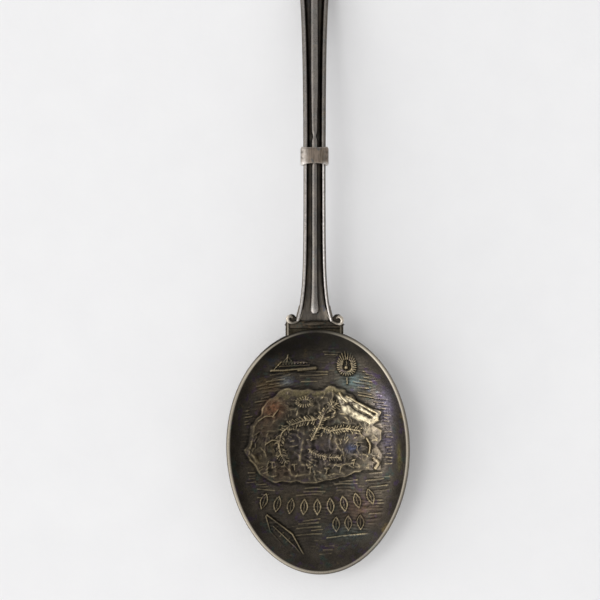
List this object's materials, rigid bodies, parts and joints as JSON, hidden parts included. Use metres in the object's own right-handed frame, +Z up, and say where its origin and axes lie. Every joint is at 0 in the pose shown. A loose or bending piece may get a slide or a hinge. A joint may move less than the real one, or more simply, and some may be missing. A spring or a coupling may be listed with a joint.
{
  "type": "souvenir spoon",
  "caption": "Small silver souvenir spoon with a struck pictorial bowl, scroll yoke, reeded collared stem and an oval bezel head with a palm emblem.",
  "frame": {"origin": "middle of the spoon's footprint, on the surface it lies on", "axes": "+Y from the tip of the bowl to the head, along the stem; +Z up, the way the bowl opens; +X to the right when the head points away"},
  "size_m": [0.0331, 0.1399, 0.0135],
  "materials": {
    "bowl_silver": "struck silver, darkened with age, bright on raised work and the rim",
    "stem_silver": "cast silver, polished reeds with dark oxidised grooves",
    "collar_silver": "worn satin silver",
    "head_silver": "matted silver ground, oxidised"
  },
  "bodies": {
    "root": {"bowl": "bowl_silver", "scroll_yoke": "stem_silver", "lower_stem": "stem_silver", "collar": "collar_silver", "upper_stem": "stem_silver", "medallion": "head_silver", "rope_border": "collar_silver", "palm_emblem": "collar_silver"}
  },
  "joints": []
}
